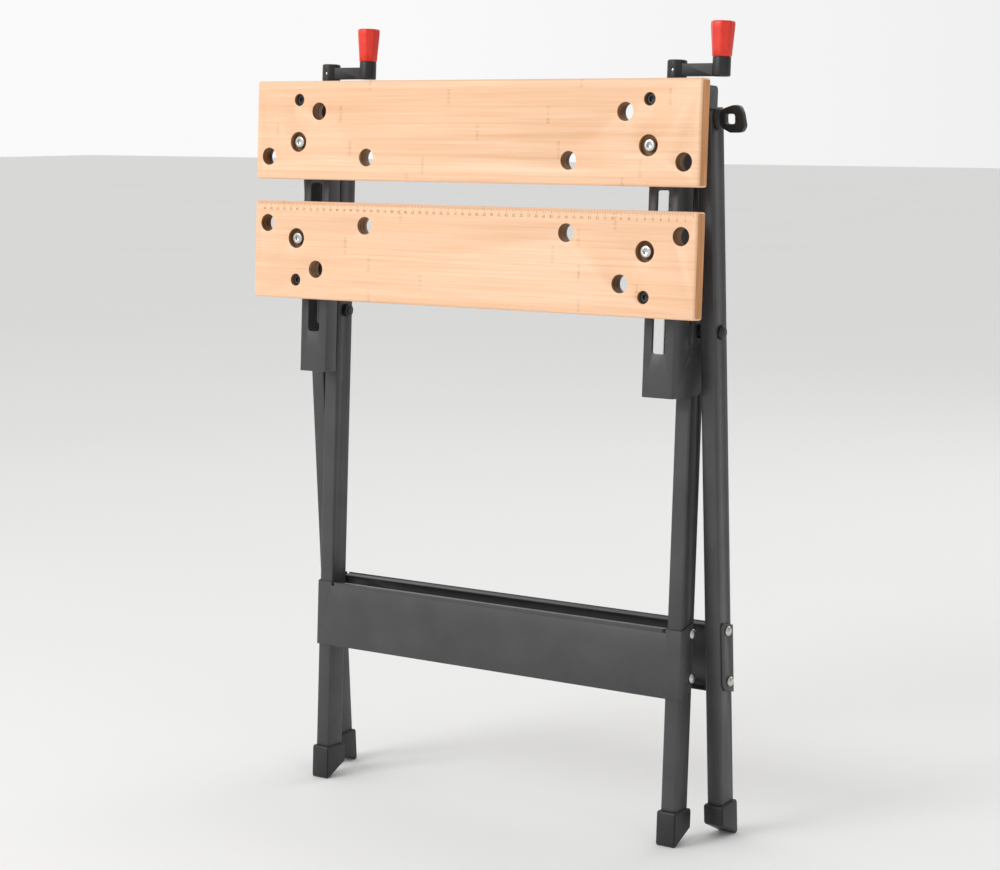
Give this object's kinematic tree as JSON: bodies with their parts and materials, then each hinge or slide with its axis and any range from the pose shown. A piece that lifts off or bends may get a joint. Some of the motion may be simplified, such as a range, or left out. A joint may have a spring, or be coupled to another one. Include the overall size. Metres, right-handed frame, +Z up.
{
  "type": "folding sawhorse",
  "caption": "Folding sawhorse with two clamping wooden jaws on a scissor-leg steel frame, hand cranks and lead screws, shown folded and standing.",
  "frame": {"origin": "middle of the bounding box, on the ground", "axes": "+X along the jaws, +Y away from the jaws' working faces, +Z up"},
  "size_m": [0.6384, 0.1406, 0.9117],
  "materials": {
    "bamboo": "laminated bamboo, sanded and sealed",
    "steel_black": "satin charcoal powder coat on folded steel",
    "zinc": "bright zinc plate",
    "plastic_black": "moulded black, fine texture",
    "grip_red": "moulded red, satin",
    "nylon": "black nylon"
  },
  "bodies": {
    "pivot": {"pivot_bolt_left": "plastic_black", "pivot_bolt_right": "plastic_black", "pivot_nut_left": "nylon", "pivot_nut_right": "nylon", "pivot_spacer_left": "nylon", "pivot_spacer_right": "nylon"},
    "inner_frame": {"inner_leg_left": "steel_black", "inner_leg_right": "steel_black", "inner_leg_plug_left": "plastic_black", "inner_leg_plug_right": "plastic_black", "inner_foot_left": "plastic_black", "inner_foot_right": "plastic_black", "hinge_stub_left": "plastic_black", "hinge_stub_right": "plastic_black", "front_cross_plate": "steel_black", "front_plate_bolt_left_lower": "zinc", "front_plate_bolt_left_upper": "zinc", "front_plate_bolt_right_lower": "zinc", "front_plate_bolt_right_upper": "zinc"},
    "outer_frame": {"outer_leg_left": "steel_black", "outer_leg_right": "steel_black", "outer_leg_plug_left": "plastic_black", "outer_leg_plug_right": "plastic_black", "outer_foot_left": "plastic_black", "outer_foot_right": "plastic_black", "lock_stud_left": "zinc", "lock_stud_right": "zinc", "rear_cross_plate": "steel_black", "rear_plate_bolt_left_lower": "zinc", "rear_plate_bolt_left_upper": "zinc", "rear_plate_bolt_right_lower": "zinc", "rear_plate_bolt_right_upper": "zinc"},
    "slot_shoes": {"slot_shoe_left": "nylon", "slot_shoe_right": "nylon"},
    "top": {"channel_left": "steel_black", "channel_right": "steel_black", "screw_bearing_left": "plastic_black", "screw_bearing_right": "plastic_black", "hinge_pin_left": "zinc", "hinge_pin_right": "zinc", "fixed_jaw_spacer_left": "plastic_black", "fixed_jaw_spacer_right": "plastic_black", "fixed_jaw_bolt_left": "zinc", "fixed_jaw_bolt_right": "zinc", "fixed_jaw_nut_left": "zinc", "fixed_jaw_nut_right": "zinc", "fixed_jaw": "bamboo"},
    "moving_jaw": {"moving_jaw": "bamboo", "carriage_left": "plastic_black", "carriage_right": "plastic_black", "moving_jaw_bolt_left": "zinc", "moving_jaw_bolt_right": "zinc"},
    "crank_right": {"lead_screw_right": "zinc", "crank_arm_right": "plastic_black"},
    "crank_left": {"lead_screw_left": "zinc", "crank_arm_left": "plastic_black"},
    "grip_right": {"grip_right": "grip_red"},
    "grip_left": {"grip_left": "grip_red"},
    "lock_knob_right": {"lock_knob_right": "plastic_black"},
    "lock_knob_left": {"lock_knob_left": "plastic_black"}
  },
  "joints": [
    {"name": "leg_spread", "type": "hinge", "parent": "pivot", "child": "outer_frame", "pos_m": [0, 0.02273, 0.57565], "axis": [1, 0, 0], "range_deg": [0, 25.5]},
    {"name": "inner_spread", "type": "hinge", "parent": "pivot", "child": "inner_frame", "pos_m": [0, 0.02273, 0.57565], "axis": [1, 0, 0], "range_deg": [-25.6, 0]},
    {"name": "top_turn", "type": "hinge", "parent": "outer_frame", "child": "slot_shoes", "pos_m": [0, 0.01058, 0.80744], "axis": [1, 0, 0], "range_deg": [-112.6, 0]},
    {"name": "top_slide", "type": "slide", "parent": "slot_shoes", "child": "top", "axis": [0, 0.0523, 0.9986], "range_m": [0, 0.2348]},
    {"name": "crank_right_turn", "type": "hinge", "parent": "top", "child": "crank_right", "pos_m": [0.2394, -0.00352, 0.78181], "axis": [0, 0.0523, 0.9986], "range_deg": [-1795, 5900]},
    {"name": "crank_left_turn", "type": "hinge", "parent": "top", "child": "crank_left", "pos_m": [-0.2394, -0.00352, 0.78181], "axis": [0, 0.0523, 0.9986], "range_deg": [-1800, 5904]},
    {"name": "jaw_slide", "type": "slide", "parent": "top", "child": "moving_jaw", "axis": [0, -0.0523, -0.9986], "range_m": [-0.025, 0.082]},
    {"name": "grip_right_spin", "type": "hinge", "parent": "crank_right", "child": "grip_right", "pos_m": [0.2944, -0.00352, 0.78181], "axis": [0, 0.0523, 0.9986], "continuous": true},
    {"name": "grip_left_spin", "type": "hinge", "parent": "crank_left", "child": "grip_left", "pos_m": [-0.1844, -0.00352, 0.78181], "axis": [0, 0.0523, 0.9986], "continuous": true},
    {"name": "lock_knob_right_turn", "type": "hinge", "parent": "outer_frame", "child": "lock_knob_right", "pos_m": [0, 0.01058, 0.80744], "axis": [1, 0, 0], "range_deg": [0, 720]},
    {"name": "lock_knob_left_turn", "type": "hinge", "parent": "outer_frame", "child": "lock_knob_left", "pos_m": [0, 0.01058, 0.80744], "axis": [-1, 0, 0], "range_deg": [0, 720]}
  ],
  "couplings": [
    {"joint": "inner_spread", "follows": "leg_spread", "ratio": -1},
    {"joint": "top_turn", "follows": "leg_spread", "ratio": -4.4118},
    {"joint": "top_slide", "follows": "leg_spread", "m_per_rad": 0.52727},
    {"joint": "jaw_slide", "follows": "crank_right_turn", "m_per_rad": 0.00079577},
    {"joint": "crank_left_turn", "follows": "crank_right_turn", "ratio": 1}
  ]
}
